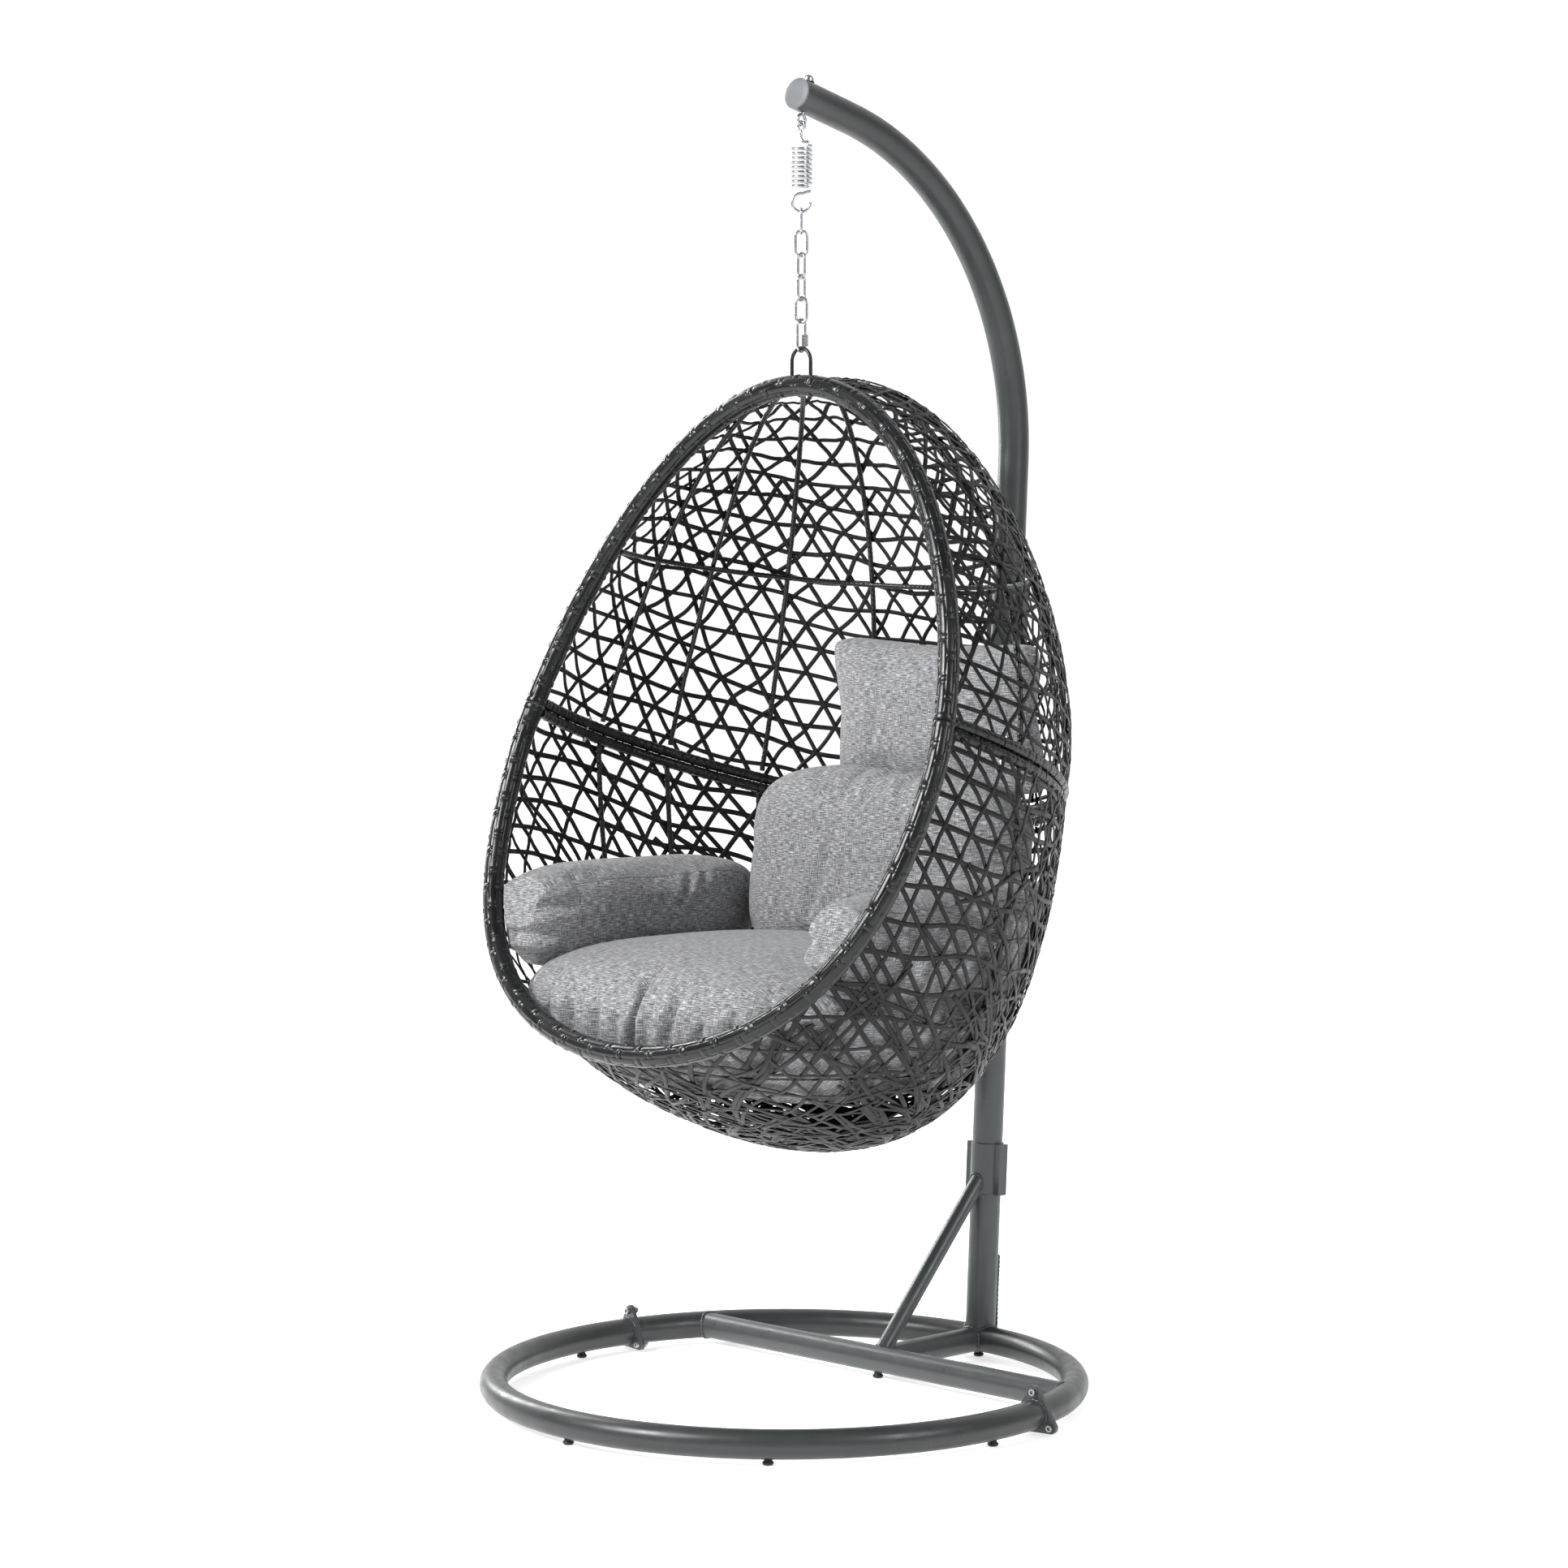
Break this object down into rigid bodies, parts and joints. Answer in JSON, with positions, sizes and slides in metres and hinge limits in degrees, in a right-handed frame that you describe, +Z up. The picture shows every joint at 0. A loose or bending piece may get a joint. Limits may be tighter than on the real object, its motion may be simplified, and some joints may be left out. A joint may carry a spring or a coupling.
{
  "type": "hanging egg chair",
  "caption": "Woven egg-shaped hanging seat in two halves with cushions, hung by chain and spring from a bent tubular arm on a round steel base.",
  "frame": {"origin": "on the floor, under the middle of the whole chair's box", "axes": "+Z up; the basket's mouth faces -Y and the post stands at +Y; +X to the right of a person who looks along +Y"},
  "size_m": [0.93, 0.9916, 1.976],
  "materials": {
    "steel": "satin powder coat",
    "cap_grey": "matte",
    "rubber": "matte",
    "zinc": "bright zinc",
    "rattan_wrap": "semi-gloss flat strand",
    "rattan_weave": "semi-gloss flat strand",
    "cushion_cloth": "heather woven cloth"
  },
  "bodies": {
    "stand": {"front_ring_arc": "steel", "rear_ring_arc": "steel", "front_flange_plates": "steel", "rear_flange_plates": "steel", "flange_bolts": "zinc", "flange_nuts": "zinc", "crossbar": "steel", "spine_bar": "steel", "strut": "steel", "foot_caps": "rubber", "foot_screws": "zinc", "lower_post": "steel", "lower_socket": "steel", "middle_post": "steel", "upper_socket": "steel", "upper_arm": "steel", "arm_end_cap": "cap_grey", "eye_bolt": "zinc", "dome_nut": "zinc"},
    "spring_top": {"spring_hook": "zinc", "spring_coil": "zinc"},
    "spring_low": {"spring_end_hook": "zinc", "chain_link_1": "zinc"},
    "chain": {"chain_link_2": "zinc", "chain_link_3": "zinc", "chain_link_4": "zinc", "chain_link_5": "zinc"},
    "quick_link": {"quick_link": "zinc", "quick_link_nut": "zinc"},
    "egg": {"hang_loop": "rattan_wrap", "upper_rim": "rattan_wrap", "lower_rim": "rattan_wrap", "upper_seam_bar": "rattan_wrap", "lower_seam_bar": "rattan_wrap", "seam_bolts": "zinc", "seam_nuts": "zinc", "upper_ribs": "rattan_wrap", "upper_hoop": "rattan_wrap", "lower_ribs": "rattan_wrap", "lower_hoop": "rattan_wrap", "upper_weave": "rattan_weave", "lower_weave": "rattan_weave", "seat_cushion": "cushion_cloth", "back_cushion": "cushion_cloth", "left_bolster": "cushion_cloth", "right_bolster": "cushion_cloth", "head_pillow": "cushion_cloth"}
  },
  "joints": [
    {"name": "fore_aft_swing", "type": "hinge", "parent": "stand", "child": "spring_top", "pos_m": [0, -0.00285, 1.90609], "axis": [-1, 0, 0], "range_deg": [-1.2, 10]},
    {"name": "spring_stretch", "type": "slide", "parent": "spring_top", "child": "spring_low", "axis": [0, 0, -1], "range_m": [0, 0.025], "stiffness_N_per_m": 35000, "springref_m": -0.005, "deforming": ["spring_coil"]},
    {"name": "chain_swivel", "type": "hinge", "parent": "spring_low", "child": "chain", "pos_m": [0, -0.00285, 1.7452], "axis": [0, 0, 1], "range_deg": [-20, 20]},
    {"name": "side_swing", "type": "hinge", "parent": "chain", "child": "quick_link", "pos_m": [0, -0.00285, 1.6144], "axis": [0, 1, 0], "range_deg": [-5, 5]},
    {"name": "basket_tilt", "type": "hinge", "parent": "quick_link", "child": "egg", "pos_m": [0, -0.00285, 1.5721], "axis": [-1, 0, 0], "range_deg": [-1.5, 8]}
  ]
}
